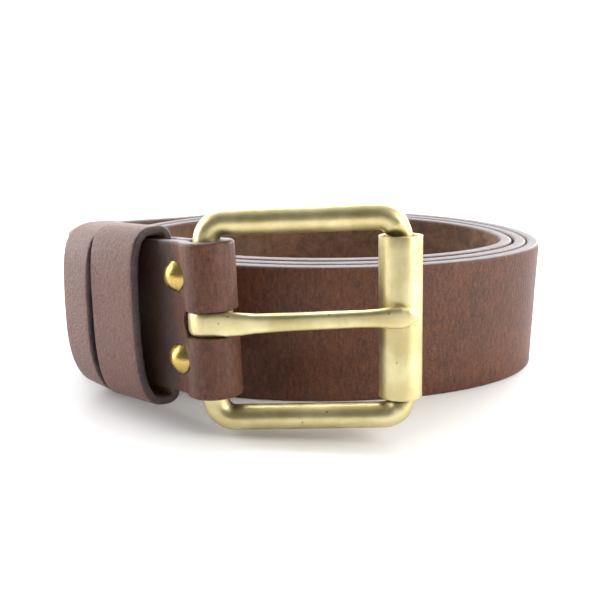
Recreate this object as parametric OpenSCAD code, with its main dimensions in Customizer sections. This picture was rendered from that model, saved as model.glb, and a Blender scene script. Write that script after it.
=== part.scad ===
// Leather belt with a roller buckle, coiled into an oval and standing on its edge.
// The buckle end comes round the left end of the coil and lies in front of it.
// Origin: bottom centre of the whole coiled belt. X to the right, Y away from the front, Z up.

/* [Strap] */
// Width of the strap (height when it stands on edge)
strap_w = 38; // [30:0.5:42]
// Thickness of the leather
strap_t = 3.5; // [2.5:0.1:3.8]
// Length of the turned-back ply, measured from the heel bar
tab_len = 47; // [44:0.5:54]
// Thickness of the turned-back ply once it is skived
tab_t = 2; // [1.5:0.1:2.4]
// Diameter of the adjustment holes
hole_d = 5.6; // [4:0.1:7]
// Number of adjustment holes
hole_count = 5; // [3:1:7]
// Spacing of the adjustment holes
hole_pitch = 25; // [20:0.5:30]
// Distance from the tip to the first adjustment hole
hole_first = 80; // [60:1:100]
// Length over which the tip narrows to its point
tip_len = 24; // [14:1:40]

/* [Coil] */
// Centre of the coil, measured from the origin
coil_centre = [3.4, 9.7];
// Outer half length of the first turn to the right of the centre
coil_right = 68.3; // [60:0.1:90]
// Outer half length of the first turn to the left of the centre
coil_left = 65.3; // [58:0.1:66]
// Outer half depth of the first turn behind the centre
coil_back = 47.3; // [42:0.1:70]
// Outer half depth of the first turn in front of the centre
coil_front = 39.7; // [30:0.1:41]
// Gap between neighbouring turns
turn_gap = 0.28; // [0.2:0.01:1]
// Number of turns from the middle of the back to the tip
coil_turns = 2.71; // [2.2:0.01:2.75]
// Angle on the oval where the buckle end joins it
join_angle = 128; // [110:1:140]
// Reach of the joining curve at its two ends
join_reach = [26, 20];

/* [Buckle end] */
// Centre of the heel bar in plan, measured from the origin
bar_place = [-23.2, -45.3];
// Height of the heel bar's centre over the middle of the coiled strap
bar_lift = 10.75; // [8:0.25:14]
// Heading of the strap behind the heel bar, anticlockwise from +X
end_heading = 140.5; // [130:0.5:150]
// Slope of the buckle end down towards the coil
end_slope = 5.8; // [0:0.1:7]
// Lean of the buckle end, its top edge inwards
end_lean = 3; // [0:0.1:6]
// Length of the straight part behind the heel bar
straight_len = 36; // [34:0.5:40]
// Radius of the bend that follows, at the middle of the leather
bend_r = 45; // [38:0.5:60]
// Angle of that bend
bend_angle = 40; // [30:1:44]
// Distance of the front face from the middle of the heel bar
face_y = 4; // [3.6:0.1:5]

/* [Buckle] */
// Diameter of the rod of the frame
rod_d = 6.4; // [5:0.1:6.8]
// Room in the frame's window beyond the width of the strap
window_play = 4; // [2:0.5:10]
// Distance between the middles of the heel bar and the roller bar
bar_pitch = 45.8; // [40:0.5:60]
// Radius of the frame's corners at the middle of the rod
corner_r = 4.8; // [4:0.1:6]
// Offset of the roller bar towards the outside of the frame
roller_bar_out = 1; // [0:0.1:1]
// Diameter of the rod where the roller sits
roller_bar_d = 4.3; // [4:0.1:5]
// Turn of the frame away from the line of the strap
frame_turn = 35.3; // [0:0.5:45]
// Outer diameter of the roller
roller_d = 10.4; // [9.5:0.1:12]
// Wall of the roller
roller_wall = 0.75; // [0.5:0.05:1]
// Free height between the roller and the frame, top and bottom together
roller_play = 2.9; // [1:0.1:4]
// Drop of the frame along the heel bar, below the middle of the strap
frame_drop = 1; // [0:0.1:1]
// Sideways shift of the loose roller on its bar
roller_shift = 1.1; // [0:0.05:1.4]
// Tilt of the loose roller on its bar
roller_tilt = 1.3; // [0:0.1:1.6]
// Width of the prong
prong_w = 4.6; // [4:0.1:5.2]
// Thickness of the prong's shank
prong_t = 3.1; // [3:0.1:5]
// Wall of the prong's eye
eye_wall = 2.3; // [1.8:0.1:2.4]
// Reach of the prong slot behind the middle of the heel bar
slot_end = 5.8; // [5:0.1:6.5]
// Reach of the prong's point past the middle of the roller bar
prong_over = 2.5; // [0:0.1:4]

/* [Keepers] */
// Thickness of the keeper leather
keeper_t = 2.1; // [1.5:0.1:2.4]
// Outer height of the keeper loops beyond the width of the strap
keeper_play = 8.4; // [6:0.1:12]
// Outer front face of the loops, from the middle of the heel bar
keeper_front = 9.8; // [9:0.1:12]
// Width of the fixed keeper
fixed_keeper_w = 16.8; // [12:0.1:20]
// Distance from the heel bar to the fixed keeper
fixed_keeper_x = 17.6; // [16.5:0.1:18]
// Width of the sliding keeper
sliding_keeper_w = 12.6; // [10:0.1:14]
// Gap between the two keepers
keeper_gap = 0.7; // [0.5:0.1:2]
// Tilt of the fixed keeper, its top towards the buckle
fixed_keeper_tilt = 1.6; // [0:0.1:3]
// Tilt of the sliding keeper, its top towards the buckle
sliding_keeper_tilt = 3.8; // [0:0.1:5]
// Fullness of the fixed keeper's upper corner (higher is squarer)
fixed_keeper_top = 3.7; // [3:0.1:6]
// Fullness of the sliding keeper's upper corner
sliding_keeper_top = 5; // [4.8:0.1:6]
// Fullness of the keepers' lower corners
keeper_low = 3.2; // [2.6:0.1:6]
// Skew of the keepers: how far their backs are set towards the buckle
keeper_skew = 3; // [0:0.1:4]
// Drop of the fixed keeper below the middle of the strap
fixed_keeper_drop = 0.6; // [0:0.1:1]
// Drop of the sliding keeper below the middle of the strap
sliding_keeper_drop = 0.8; // [0:0.1:0.9]

/* [Screws] */
// Diameter of the domed heads
head_d = 7.5; // [6:0.1:9]
// Height of the domed heads
head_h = 1.9; // [1.2:0.1:2.4]
// Diameter of the posts
post_d = 4.4; // [3.6:0.1:5]
// Distance between the two screws of a pair
screw_pitch = 20.8; // [16:0.1:24]
// Distance from the heel bar to the front pair
front_pair_x = 7.8; // [7.6:0.1:8.2]
// Distance from the heel bar to the rear pair
rear_pair_x = 40.5; // [39:0.1:42]
// Diameter of the slotted screw heads at the back
back_head_d = 7; // [6:0.1:8]
// Height of the slotted screw heads
back_head_h = 1.1; // [0.8:0.1:1.4]

/* [Hidden] */
$fn = 48;
clearance = 0.1;
joint_clearance = 0.1;
bar_r = rod_d / 2;
roller_bar_r = roller_bar_d / 2;
mid_z = strap_w / 2;
bar_pos = [bar_place.x, bar_place.y, mid_z + bar_lift];
window_h = strap_w + window_play;
keeper_h = strap_w + keeper_play;
turn_pitch = strap_t + turn_gap;
frame_h = window_h + 2 * rod_d;

// Front ply: middle of the leather; tab: its face towards the front ply where they touch
front_mid = face_y - strap_t / 2;
tab_face = face_y - strap_t - clearance;
// The tab steps back behind the fixed keeper, whose back lies between the plies
keeper_face = tab_face - keeper_t - clearance;

// Fold round the heel bar, at the middle of the leather
fold_r = bar_r + joint_clearance + strap_t / 2;
dip_r = 6;
tab_dip_r = 5;
tab_mid = tab_face - strap_t / 2;
dip_x = sqrt(pow(fold_r + dip_r, 2) - pow(front_mid + dip_r, 2));
dip_a = atan2(dip_x, front_mid + dip_r);
tab_dip_x = sqrt(pow(fold_r + tab_dip_r, 2) - pow(tab_dip_r - tab_mid, 2));
tab_dip_a = atan2(tab_dip_x, tab_dip_r - tab_mid);

// Prong slot in the fold and relief for the prong's eye
eye_r = bar_r + joint_clearance + eye_wall;
slot_h = prong_w + 1.9;
slot_z = -0.25 * frame_drop;

// Roller
roller_r = roller_d / 2;
roller_x = bar_pitch + roller_bar_out;
roller_z = 0.1;
roller_len = window_h - roller_play;

// Sliding keeper, on the bend
sliding_keeper_x = fixed_keeper_x + fixed_keeper_w + keeper_gap + sliding_keeper_w / 2;
slide_angle = (sliding_keeper_x - straight_len) / bend_r * 180 / PI;

// ---------------------------------------------------------------- helpers

function unit(v) = v / norm(v);
function smooth(v) = v <= 0 ? 0 : v >= 1 ? 1 : v * v * (3 - 2 * v);
function left_of(v) = [-v.y, v.x];
function arc(c, r, a0, a1, n) =
    [for (i = [0:n]) let(a = a0 + (a1 - a0) * i / n) [c.x + r * cos(a), c.y + r * sin(a)]];
// Running length along a list of points
function running(p) =
    [for (i = 0, s = 0; i < len(p); s = s + (i + 1 < len(p) ? norm(p[i + 1] - p[i]) : 0), i = i + 1) s];
// Direction of travel at point i of a list
function travel(p, i) = unit(p[min(i + 1, len(p) - 1)] - p[max(i - 1, 0)]);

// Frame of the buckle end: x along the strap away from the heel bar, y to the front, z up the strap
function turn_x(p, a) = [p.x, p.y * cos(a) - p.z * sin(a), p.y * sin(a) + p.z * cos(a)];
function turn_y(p, a) = [p.x * cos(a) + p.z * sin(a), p.y, p.z * cos(a) - p.x * sin(a)];
function turn_z(p, a) = [p.x * cos(a) - p.y * sin(a), p.x * sin(a) + p.y * cos(a), p.z];
function end_turn(p) = turn_z(turn_y(turn_x(p, end_lean), end_slope), end_heading);
function end_place(p) = bar_pos + end_turn(p);
module end_frame() {
    translate(bar_pos)
        rotate([end_lean, end_slope, end_heading])
            children();
}
// Frame of the buckle: x to the roller, y away from the front, z along the heel bar
module buckle_place() {
    end_frame()
        translate([0, 0, -frame_drop])
            rotate([0, 0, 180 + frame_turn])
                children();
}
// Frame on the bend, turned about its centre; x along the strap
bend_centre = [straight_len, front_mid - bend_r];
module on_bend(angle) {
    end_frame()
        translate([bend_centre.x, bend_centre.y, 0])
            rotate([0, 0, -angle])
                translate([0, bend_r - front_mid, 0])
                    children();
}

// ---------------------------------------------------------------- strap

// Middle of the front ply at distance s from the heel bar, and the heading there
function bend_at(s) = max(0, s - straight_len) / bend_r * 180 / PI;
function front_point(s) =
    s <= straight_len ? [s, front_mid]
    : bend_centre + bend_r * [sin(bend_at(s)), cos(bend_at(s))];
function front_normal(s) = [sin(bend_at(s)), cos(bend_at(s))];

// Face and thickness of the turned-back ply: skived, and stepped back over the fixed keeper
step_in = [tab_dip_x + 1, fixed_keeper_x - keeper_skew - 1.4];
step_out = [fixed_keeper_x + fixed_keeper_w - keeper_skew + 1, fixed_keeper_x + fixed_keeper_w + 2];
function ramp(s, pair) = smooth((s - pair[0]) / (pair[1] - pair[0]));
function tab_face_at(s) = tab_face + (keeper_face - tab_face) * (ramp(s, step_in) - ramp(s, step_out));
function tab_t_at(s) = strap_t + (tab_t - strap_t) * ramp(s, step_in);
function tab_point(s) =
    front_point(s) + front_normal(s) * (tab_face_at(s) - tab_t_at(s) / 2 - front_mid);

// Stations in the frame of the buckle end: [x, y, thickness]
tab_steps = 26;
tab_stations = [
    for (i = [0:tab_steps])
        let(s = tab_len + (tab_dip_x + 0.3 - tab_len) * i / tab_steps, p = tab_point(s))
            [p.x, p.y, tab_t_at(s)]
];
// The fold is drawn a little too thick on the inside, so that the bore cuts it clean all round
bore_stock = 0.4;
fold_stations = concat(
    [for (p = arc([tab_dip_x, tab_mid - tab_dip_r], tab_dip_r, 90, 86 + tab_dip_a, 5)) [p.x, p.y, strap_t]],
    [for (p = arc([0, 0], fold_r - bore_stock / 2, 270 + tab_dip_a, 90 - dip_a, 30)) [p.x, p.y, strap_t + bore_stock]],
    [for (p = arc([dip_x, front_mid + dip_r], dip_r, 274 - dip_a, 270, 6)) [p.x, p.y, strap_t]]
);
bend_len = bend_r * bend_angle * PI / 180;
bend_steps = 10;
front_stations = concat(
    [for (s = [straight_len / 2, straight_len]) [s, front_mid, strap_t]],
    [for (i = [1:bend_steps]) let(p = front_point(straight_len + bend_len * i / bend_steps)) [p.x, p.y, strap_t]]
);
end_stations = concat(tab_stations, fold_stations, front_stations);

// Oval of the coil: outer face of the first turn, and its outward normal
function half_x(a) = cos(a) >= 0 ? coil_right : coil_left;
function half_y(a) = sin(a) >= 0 ? coil_back : coil_front;
function oval(a) = coil_centre + [half_x(a) * cos(a), half_y(a) * sin(a)];
function oval_normal(a) = unit([cos(a) / half_x(a), sin(a) / half_y(a)]);
// Every turn lies one pitch inside the one before; the inmost one stands a little off at the front
function turns_at(a) = (90 - a) / 360;
function slack_at(a) = 0.45 * smooth((turns_at(a) - 2) / 0.4);
function coil_inset(a) = turn_pitch * turns_at(a) + slack_at(a) + strap_t / 2;
function coil_point(a) = oval(a) - oval_normal(a) * coil_inset(a);
tip_angle = 90 - 360 * coil_turns;
coil_step = 5;
coil_angles = [for (a = join_angle; a > tip_angle; a = a - coil_step) a, tip_angle];
coil_path = [for (a = coil_angles) coil_point(a)];
coil_run = running(coil_path);
coil_len = coil_run[len(coil_run) - 1];
angle_table = [for (i = [0:len(coil_run) - 1]) [coil_run[i], coil_angles[i]]];
function angle_from_tip(d) = lookup(coil_len - d, angle_table);
// Half width, full along the strap and drawn to a blunt point at the tip
function half_width(d) = d >= tip_len ? mid_z : 3 + (mid_z - 3) * pow(sin(90 * d / tip_len), 0.6);

// Joining curve between the bend and the oval, as a cubic Bezier
bend_end = end_place([front_point(straight_len + bend_len).x, front_point(straight_len + bend_len).y, 0]);
bend_out = unit(end_turn([cos(bend_angle), -sin(bend_angle), 0]));
join_start = [bend_end.x, bend_end.y];
join_dir = unit([bend_out.x, bend_out.y]);
join_end = coil_path[0];
join_end_dir = unit(coil_point(join_angle - 1) - coil_point(join_angle + 1));
function bezier(p, t) =
    p[0] * pow(1 - t, 3) + p[1] * 3 * t * pow(1 - t, 2) + p[2] * 3 * t * t * (1 - t) + p[3] * pow(t, 3);
join_points = [
    join_start, join_start + join_dir * join_reach[0],
    join_end - join_end_dir * join_reach[1], join_end
];
join_steps = 12;
join_path = [for (i = [1:join_steps - 1]) bezier(join_points, i / join_steps)];
join_run = running(concat([join_start], join_path, [join_end]));
join_len = join_run[join_steps];

// The strap comes down from the raised buckle end to the table along the joining curve
join_drop = bend_end.z - mid_z;
join_slope = -bend_out.z / norm([bend_out.x, bend_out.y]);
up = end_turn([0, 0, 1]);
join_lean = -([up.x, up.y] * left_of(join_dir)) / up.z;
function lift(v) = join_drop * pow(1 - v, 2) * (1 + (2 - join_slope * join_len / join_drop) * v);
function slope(v) = (lift(v - 0.001) - lift(v + 0.001)) / (0.002 * join_len);

// Cross-section corners for one station: centre c, outward normal n, up vector w
function ring(c, n, w, t, h) = [c + n * t / 2 - w * h, c + n * t / 2 + w * h, c - n * t / 2 + w * h, c - n * t / 2 - w * h];
end_rings = [
    for (i = [0:len(end_stations) - 1])
        let(
            p = [for (q = end_stations) [q.x, q.y]],
            n = left_of(travel(p, i)),
            q = end_stations[i]
        )
            [for (k = ring([q.x, q.y, 0], [n.x, n.y, 0], [0, 0, 1], q[2], mid_z)) end_place(k)]
];
join_rings = [
    for (i = [1:join_steps - 1])
        let(
            all_points = concat([join_start], join_path, [join_end]),
            v = join_run[i] / join_len,
            d = travel(all_points, i),
            n = left_of(d),
            w = unit([0, 0, 1] + [d.x, d.y, 0] * slope(v) - [n.x, n.y, 0] * join_lean * pow(1 - v, 2)),
            m = unit([n.x, n.y, 0] - w * ([n.x, n.y, 0] * w))
        )
            ring([join_path[i - 1].x, join_path[i - 1].y, mid_z + lift(v)], m, w, strap_t, mid_z)
];
coil_rings = [
    for (i = [0:len(coil_path) - 1])
        let(n = left_of(travel(coil_path, i)), h = half_width(coil_len - coil_run[i]))
            ring([coil_path[i].x, coil_path[i].y, mid_z], [n.x, n.y, 0], [0, 0, 1], strap_t, h)
];
strap_rings = concat(end_rings, join_rings, coil_rings);

module sweep(rings) {
    last = len(rings) - 1;
    points = [for (r = rings) for (p = r) p];
    sides = [
        for (i = [0:last - 1])
            for (k = [0:3])
                let(a = 4 * i + k, b = 4 * i + (k + 1) % 4)
                    each [[a, b + 4, b], [a, a + 4, b + 4]]
    ];
    ends = [[1, 2, 3], [0, 1, 3], [4 * last + 2, 4 * last + 1, 4 * last], [4 * last + 3, 4 * last + 2, 4 * last]];
    polyhedron(points = points, faces = concat(sides, ends), convexity = 10);
}

// Cylinder along y of the current frame, from y0 to y1
module across(r, y0, y1) {
    translate([0, y0, 0])
        rotate([-90, 0, 0])
            cylinder(r = r, h = y1 - y0);
}

// Cut for one screw: its hole and the seats of its two heads
module screw_cut(back_y) {
    across(post_d / 2 + clearance, back_y - 3, face_y + 3);
    translate([0, face_y, 0])
        rotate([-90, 0, 0])
            cylinder(r1 = head_d / 2 + clearance, r2 = head_d / 2 + clearance + 3, h = 3.2);
    across(back_head_d / 2 + clearance, back_y - 4, back_y);
}

module front_pair() {
    for (side = [-1, 1])
        end_frame()
            translate([front_pair_x, 0, side * screw_pitch / 2])
                children();
}
module rear_pair() {
    for (side = [-1, 1])
        on_bend(bend_at(rear_pair_x))
            translate([0, 0, side * screw_pitch / 2])
                children();
}
front_back_y = tab_face - strap_t;
rear_back_y = tab_face - tab_t;

module strap() {
    color("saddlebrown")
        difference() {
            sweep(strap_rings);
            // Bore of the fold, and the relief for the prong's eye
            end_frame()
                cylinder(r = bar_r + joint_clearance, h = strap_w + 2, center = true);
            end_frame()
                for (z = [-mid_z, mid_z])
                    translate([0, 0, z])
                        cylinder(r = bar_r + joint_clearance + 0.5, h = 3, center = true);
            end_frame()
                translate([0, 0, slot_z])
                    cylinder(r = eye_r + 0.3, h = slot_h, center = true);
            // Prong slot through the fold, open towards the buckle
            end_frame()
                translate([-12, -12, slot_z - slot_h / 2])
                    cube([12 + slot_end - slot_h / 2, 24, slot_h]);
            end_frame()
                translate([slot_end - slot_h / 2, 0, slot_z])
                    across(slot_h / 2, 0, 12);
            front_pair() screw_cut(front_back_y);
            rear_pair() screw_cut(rear_back_y);
            // Adjustment holes
            for (i = [0:hole_count - 1]) {
                a = angle_from_tip(hole_first + hole_pitch * i);
                p = coil_point(a);
                n = oval_normal(a);
                translate([p.x, p.y, mid_z])
                    rotate([0, 0, atan2(n.y, n.x) - 90])
                        across(hole_d / 2, -strap_t / 2 - 1, strap_t / 2 + 0.08);
            }
        }
}

// ---------------------------------------------------------------- buckle

module rod(r, a, b) {
    translate(a)
        rotate(b.x > a.x ? [0, 90, 0] : [0, 0, 0])
            cylinder(r = r, h = norm(b - a));
}
module corner(at, turn) {
    translate(at)
        rotate([-90, 0, 0])
            rotate([0, 0, turn])
                rotate_extrude(angle = 90)
                    translate([corner_r, 0])
                        circle(r = bar_r);
}
module buckle_frame() {
    z0 = frame_h / 2 - bar_r;
    x1 = bar_pitch;
    color("darkkhaki")
        buckle_place() {
            rod(bar_r, [0, 0, corner_r - z0], [0, 0, z0 - corner_r]);
            for (z = [-z0, z0])
                rod(bar_r, [corner_r, 0, z], [x1 - corner_r, 0, z]);
            rod(roller_bar_r, [roller_x, 0, corner_r - z0 - 0.5], [roller_x, 0, z0 - corner_r + 0.5]);
            corner([corner_r, 0, z0 - corner_r], 180);
            corner([corner_r, 0, corner_r - z0], 90);
            corner([x1 - corner_r, 0, z0 - corner_r], 270);
            corner([x1 - corner_r, 0, corner_r - z0], 0);
        }
}

module roller() {
    color("khaki")
        buckle_place()
            translate([roller_x - roller_shift, 0, roller_z])
                rotate([0, roller_tilt, 0])
                    difference() {
                        cylinder(r = roller_r, h = roller_len, center = true);
                        cylinder(r = roller_r - roller_wall, h = roller_len + 2, center = true);
                    }
}

// Prong: its side outline, cut to its outline seen from the front
prong_x = roller_x + prong_over;
prong_rest = -(roller_r + 0.05);
eye_front = -(bar_r + joint_clearance);
module prong_side() {
    polygon(concat(
        [for (a = [200:-12:20]) 0.999 * eye_r * [cos(a), sin(a)]],
        [
            [4.4, eye_front + 2.2], [6, eye_front + 0.6], [bar_pitch * 0.25, eye_front - 0.55],
            [bar_pitch * 0.8, prong_rest + 0.15], [bar_pitch - 2, prong_rest], [prong_x - 0.4, prong_rest],
            [prong_x, prong_rest - 0.4], [prong_x - 0.6, prong_rest - 1.4], [bar_pitch - 1, prong_rest - prong_t + 0.1],
            [bar_pitch * 0.8, prong_rest - prong_t + 0.2], [bar_pitch * 0.45, eye_front - prong_t - 1],
            [bar_pitch * 0.25, eye_front - prong_t - 0.7], [bar_pitch * 0.1, 0.15 - eye_r]
        ],
        [for (a = [285:-12:205]) 0.999 * eye_r * [cos(a), sin(a)]]
    ));
}
module prong_front() {
    w = prong_w / 2;
    rise = 1.3;
    polygon([
        [-eye_r - 1, -w], [bar_pitch * 0.09, -w], [bar_pitch * 0.17, 0.1 - w * 0.92],
        [bar_pitch * 0.26, rise * 0.3 - w * 0.84], [bar_pitch * 0.5, rise * 0.8 - w * 0.88],
        [bar_pitch * 0.84, rise - w * 0.84], [bar_pitch * 0.93, rise - w * 0.96], [bar_pitch * 0.99, rise - w * 0.9],
        [bar_pitch * 1.03, rise - w * 0.6], [prong_x, rise],
        [bar_pitch * 1.03, rise + w * 0.62], [bar_pitch * 0.99, rise + w * 0.9], [bar_pitch * 0.93, rise + w * 0.96],
        [bar_pitch * 0.84, rise + w * 0.84], [bar_pitch * 0.5, rise * 0.8 + w * 0.88],
        [bar_pitch * 0.26, rise * 0.3 + w * 0.84], [bar_pitch * 0.17, 0.1 + w * 0.92],
        [bar_pitch * 0.09, w], [-eye_r - 1, w]
    ]);
}
module prong() {
    color("darkkhaki")
        buckle_place()
            difference() {
                intersection() {
                    linear_extrude(height = 3 * prong_w, center = true) prong_side();
                    rotate([90, 0, 0])
                        linear_extrude(height = 40, center = true) prong_front();
                }
                cylinder(r = bar_r + joint_clearance, h = 3 * prong_w, center = true);
            }
}

// ---------------------------------------------------------------- keepers

// Outline of a loop seen along the strap: [y, z], a full curve at the front and plain corners at the back
function part_power(v, e) = (v < 0 ? -1 : 1) * pow(abs(v), e);
function loop_outline(front, back, h, r_back, top) = concat(
    [
        for (a = [-90:5:90])
            let(e = 2 / (a > 0 ? top : keeper_low), deep = front - back - r_back)
                [back + r_back + deep * part_power(max(cos(a), 0), e), h / 2 * part_power(sin(a), e)]
    ],
    arc([back + r_back, h / 2 - r_back], r_back, 100, 180, 5),
    arc([back + r_back, r_back - h / 2], r_back, 180, 260, 5)
);
// Loop of width w, cut askew: its back lies nearer the buckle than its front
module keeper_loop(back, w, top) {
    skew = keeper_skew / (keeper_front - back);
    far = keeper_front + 1;
    near = back - 1;
    intersection() {
        rotate([90, 0, 90])
            linear_extrude(height = w + 12, center = true)
                difference() {
                    polygon(loop_outline(keeper_front, back, keeper_h, 3, top));
                    polygon(loop_outline(keeper_front - keeper_t, back + keeper_t, keeper_h - 2 * keeper_t, 1, top));
                }
        linear_extrude(height = keeper_h + 4, center = true)
            polygon([
                [-w / 2 + skew * (near - keeper_front), near], [w / 2 + skew * (near - keeper_front), near],
                [w / 2 + skew * (far - keeper_front), far], [-w / 2 + skew * (far - keeper_front), far]
            ]);
    }
}
module fixed_keeper() {
    color("sienna")
        end_frame()
            translate([fixed_keeper_x + fixed_keeper_w / 2, 0, -fixed_keeper_drop])
                rotate([0, -fixed_keeper_tilt, 0])
                    keeper_loop(keeper_face + clearance / 2, fixed_keeper_w, fixed_keeper_top);
}
sliding_back = keeper_face - tab_t - 1.2 - keeper_t;
module sliding_place() {
    on_bend(slide_angle)
        translate([0, 0, -sliding_keeper_drop])
            rotate([0, -sliding_keeper_tilt, 0])
                children();
}
module sliding_keeper() {
    color("sienna")
        sliding_place()
            keeper_loop(sliding_back, sliding_keeper_w, sliding_keeper_top);
}
// Wire staple across the butted ends of the sliding keeper, on its back
module keeper_staple(z) {
    r = 0.4;
    span = 7;
    color("darkgoldenrod")
        sliding_place()
            translate([0, sliding_back - r - 0.02, z]) {
                rotate([0, 0, 0])
                    translate([0, 0, -span / 2])
                        cylinder(r = r, h = span, $fn = 24);
            }
}

// ---------------------------------------------------------------- screws

bore_r = post_d / 2 - 0.7;
module post(back_y) {
    ball = (pow(head_d / 2, 2) + pow(head_h, 2)) / (2 * head_h);
    grip = face_y - back_y;
    color("goldenrod") {
        intersection() {
            translate([0, face_y + clearance / 2 + head_h - ball, 0]) sphere(r = ball);
            across(head_d / 2, face_y + clearance / 2, face_y + head_h + 1);
        }
        difference() {
            across(post_d / 2, back_y + 0.3, face_y + clearance);
            across(bore_r, back_y, face_y - 1);
        }
    }
}
module back_screw(back_y) {
    color("goldenrod")
        difference() {
            union() {
                across(back_head_d / 2, back_y - back_head_h, back_y - clearance / 2);
                across(bore_r - 0.05, back_y - 0.5, face_y - 1.3);
            }
            translate([-back_head_d, back_y - back_head_h - 1, -0.5])
                cube([2 * back_head_d, 1.5, 1]);
        }
}
module front_screw_place(side) {
    end_frame() translate([front_pair_x, 0, side * screw_pitch / 2]) children();
}
module rear_screw_place(side) {
    on_bend(bend_at(rear_pair_x)) translate([0, 0, side * screw_pitch / 2]) children();
}
module front_post_upper() { front_screw_place(1) post(front_back_y); }
module front_post_lower() { front_screw_place(-1) post(front_back_y); }
module rear_post_upper() { rear_screw_place(1) post(rear_back_y); }
module rear_post_lower() { rear_screw_place(-1) post(rear_back_y); }
module front_screw_upper() { front_screw_place(1) back_screw(front_back_y); }
module front_screw_lower() { front_screw_place(-1) back_screw(front_back_y); }
module rear_screw_upper() { rear_screw_place(1) back_screw(rear_back_y); }
module rear_screw_lower() { rear_screw_place(-1) back_screw(rear_back_y); }

strap();
buckle_frame();
roller();
prong();
fixed_keeper();
sliding_keeper();
front_post_upper();
front_post_lower();
rear_post_upper();
rear_post_lower();
front_screw_upper();
front_screw_lower();
rear_screw_upper();
rear_screw_lower();
keeper_staple(11);  // keeper_staple_upper
keeper_staple(-11);  // keeper_staple_lower
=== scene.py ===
"""Leather belt with a roller buckle, coiled on its edge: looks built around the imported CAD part."""

import math

import bmesh
import bpy
import numpy as np
from mathutils import Matrix, Vector


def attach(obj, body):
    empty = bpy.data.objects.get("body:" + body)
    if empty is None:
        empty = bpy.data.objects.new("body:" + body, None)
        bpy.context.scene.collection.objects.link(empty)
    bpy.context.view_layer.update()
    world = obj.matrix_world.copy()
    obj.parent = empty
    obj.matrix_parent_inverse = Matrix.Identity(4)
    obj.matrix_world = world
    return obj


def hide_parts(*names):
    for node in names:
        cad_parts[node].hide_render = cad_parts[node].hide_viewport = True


bl_info = {
    "name": "Coiled leather belt",
    "version": (1, 0, 0),
    "blender": (4, 5, 0),
    "location": "3D View > Sidebar > Belt",
    "description": "Leather, brass and studio for a coiled belt with a roller buckle",
    "category": "Object",
}

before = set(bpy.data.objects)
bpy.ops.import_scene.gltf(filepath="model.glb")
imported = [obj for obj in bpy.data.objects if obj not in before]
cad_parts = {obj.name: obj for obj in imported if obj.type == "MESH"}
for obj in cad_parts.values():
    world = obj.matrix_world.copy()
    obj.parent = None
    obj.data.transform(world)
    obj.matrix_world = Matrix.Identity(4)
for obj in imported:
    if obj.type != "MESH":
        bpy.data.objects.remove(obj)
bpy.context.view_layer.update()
MM = 0.001

# ------------------------------------------------------------------ sizes in millimetres

STRAP_W = 38.0
STRAP_T = 3.5
TAB_LEN = 47.0
TAB_T = 2.0
TIP_LEN = 24.0
HOLE_D = 5.6
HOLE_COUNT = 5
HOLE_PITCH = 25.0
HOLE_FIRST = 80.0
COIL_CENTRE = np.array([3.4, 9.7])
COIL_RIGHT, COIL_LEFT, COIL_BACK, COIL_FRONT = 68.3, 65.3, 47.3, 39.7
TURN_PITCH = STRAP_T + 0.28
COIL_TURNS = 2.71
JOIN_ANGLE = 128.0
JOIN_REACH = (26.0, 20.0)
BAR_POS = np.array([-23.2, -45.3, 29.75])
END_HEADING, END_SLOPE, END_LEAN = 140.5, 5.8, 3.0
STRAIGHT_LEN, BEND_R, BEND_ANGLE = 36.0, 45.0, 40.0
FACE_Y = 4.0
BAR_R = 3.2
WINDOW_H = 42.0
BAR_PITCH = 45.8
CORNER_R = 4.8
ROLLER_BAR_R = 2.15
ROLLER_BAR_OUT = 1.0
FRAME_TURN = 35.3
FRAME_DROP = 1.0
ROLLER_R = 5.2
ROLLER_WALL = 0.75
ROLLER_LEN = WINDOW_H - 2.9
ROLLER_SHIFT = 1.1
ROLLER_TILT = 1.3
ROLLER_Z = 0.1
PRONG_W = 4.6
PRONG_OVER = 2.9
EYE_WALL = 2.3
SLOT_END = 5.5
KEEPER_T = 2.1
KEEPER_H = 46.4
KEEPER_FRONT = 9.8
KEEPER_SKEW = 3.0
KEEPER_LOW = 3.2
FIXED_W, FIXED_X, FIXED_TILT, FIXED_DROP, FIXED_TOP = 16.8, 17.6, 1.6, 0.6, 3.7
SLIDING_W, SLIDING_GAP, SLIDING_TILT, SLIDING_DROP, SLIDING_TOP = 12.6, 0.7, 3.8, 0.8, 4.4
HEAD_D, HEAD_H, POST_D = 7.5, 1.9, 4.4
SCREW_PITCH = 20.8
FRONT_PAIR_X, REAR_PAIR_X = 7.8, 40.5
BACK_HEAD_D, BACK_HEAD_H = 7.0, 1.1
CLEARANCE = 0.1
STAPLE_SPAN, STAPLE_WIRE_R, STAPLE_Z = 7.0, 0.4, 11
SOCKET_R, SOCKET_DEPTH = 1.5, 1.2
THREAD_R, THREAD_LEN = 1.45, 3.2

# The last turn stands freer by this gap, which opens from this turn on, over this part of a turn.
FREE_GAP, FREE_FROM, FREE_OVER = 0.45, 2, 0.4
# The leather beside the prong slot is pressed in: place along the strap, half length, half height and depth.
PINCH_X, PINCH_LONG, PINCH_HIGH, PINCH_DEPTH = 4.6, 3.0, 6.5, 0.8
# Stations of the strap before this one are the tab, the fold and the start of the front ply.
NEAR_STATIONS = 175
# How far the cutters of the slot reach towards the buckle and through the plies.
CUT_OPEN, CUT_DEEP = 14, 12.0
PUNCH_DEPTH = 6

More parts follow.
